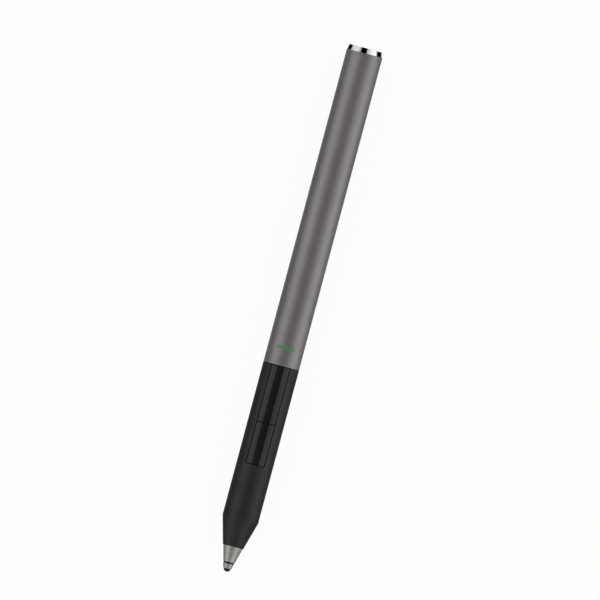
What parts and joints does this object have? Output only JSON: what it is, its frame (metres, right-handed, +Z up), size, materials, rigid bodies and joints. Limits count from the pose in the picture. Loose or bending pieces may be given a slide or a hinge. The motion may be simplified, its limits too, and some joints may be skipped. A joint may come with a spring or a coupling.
{
  "type": "stylus pen",
  "caption": "Slim round active stylus pen: tapered grip with two push buttons, pull-out nib in a metal nose, and a screw-on metal barrel over the battery.",
  "frame": {"origin": "middle of the pen's length, under its axis, on the surface that it lies on", "axes": "+X along the pen's axis from the nib to the end cap, +Z up, to the button side"},
  "size_m": [0.1466, 0.01, 0.01],
  "materials": {
    "barrel_metal": "satin",
    "cap_chrome": "polished",
    "tip_metal": "satin",
    "grip_plastic": "matte",
    "button_plastic": "matte",
    "inlay_gloss": "gloss",
    "nib_plastic": "matte",
    "bush_plastic": "matte",
    "holder_plastic": "matte",
    "spring_steel": "satin",
    "sensor_can": "satin",
    "flex_amber": "gloss",
    "chassis_plastic": "matte",
    "board_mask": "gloss",
    "chip_black": "matte",
    "screw_steel": "satin",
    "switch_body": "matte",
    "switch_button": "matte",
    "contact_brass": "satin",
    "carrier_plastic": "matte",
    "stop_metal": "satin",
    "battery_can": "satin",
    "battery_print": "gloss",
    "seal_rubber": "matte"
  },
  "bodies": {
    "front_body": {"grip_shell": "grip_plastic", "joint_seal": "seal_rubber", "nose_cone": "tip_metal", "nib_guide_bush": "bush_plastic", "nib_spring": "spring_steel", "force_sensor": "sensor_can", "sensor_flex": "flex_amber", "chassis": "chassis_plastic", "main_board": "board_mask", "board_screws": "screw_steel", "board_chips": "chip_black", "upper_switch": "switch_body", "lower_switch": "switch_body", "contact_carrier": "carrier_plastic", "contact_pin": "contact_brass", "contact_spring": "spring_steel", "ground_clip": "contact_brass"},
    "battery": {"battery_cell": "battery_can", "battery_jacket": "battery_print"},
    "rear_body": {"barrel": "barrel_metal", "end_cap": "cap_chrome", "battery_stop": "stop_metal", "rear_contact": "contact_brass"},
    "holder": {"nib_holder": "holder_plastic"},
    "nib": {"nib_core": "nib_plastic", "nib_collar": "tip_metal"},
    "upper_key": {"upper_button": "button_plastic", "upper_button_inlay": "inlay_gloss", "upper_switch_plunger": "switch_button"},
    "lower_key": {"lower_button": "button_plastic", "lower_button_inlay": "inlay_gloss", "lower_switch_plunger": "switch_button"}
  },
  "joints": [
    {"name": "seam_advance", "type": "slide", "parent": "front_body", "child": "battery", "axis": [1, 0, 0], "range_m": [0, 0.003], "deforming": ["contact_spring"]},
    {"name": "barrel_unscrew", "type": "hinge", "parent": "battery", "child": "rear_body", "pos_m": [0, 0, 0.005], "axis": [1, 0, 0], "range_deg": [0, 1440]},
    {"name": "nib_press", "type": "slide", "parent": "front_body", "child": "holder", "axis": [1, 0, 0], "range_m": [0, 0.0002], "stiffness_N_per_m": 2000, "deforming": ["nib_spring"]},
    {"name": "nib_pull", "type": "slide", "parent": "holder", "child": "nib", "axis": [-1, 0, 0], "range_m": [0, 0.012]},
    {"name": "upper_button_press", "type": "slide", "parent": "front_body", "child": "upper_key", "axis": [0, 0, -1], "range_m": [0, 0.0003], "stiffness_N_per_m": 4000},
    {"name": "lower_button_press", "type": "slide", "parent": "front_body", "child": "lower_key", "axis": [0, 0, -1], "range_m": [0, 0.0003], "stiffness_N_per_m": 4000}
  ],
  "couplings": [
    {"joint": "barrel_unscrew", "follows": "seam_advance", "rad_per_m": 8377.6}
  ]
}
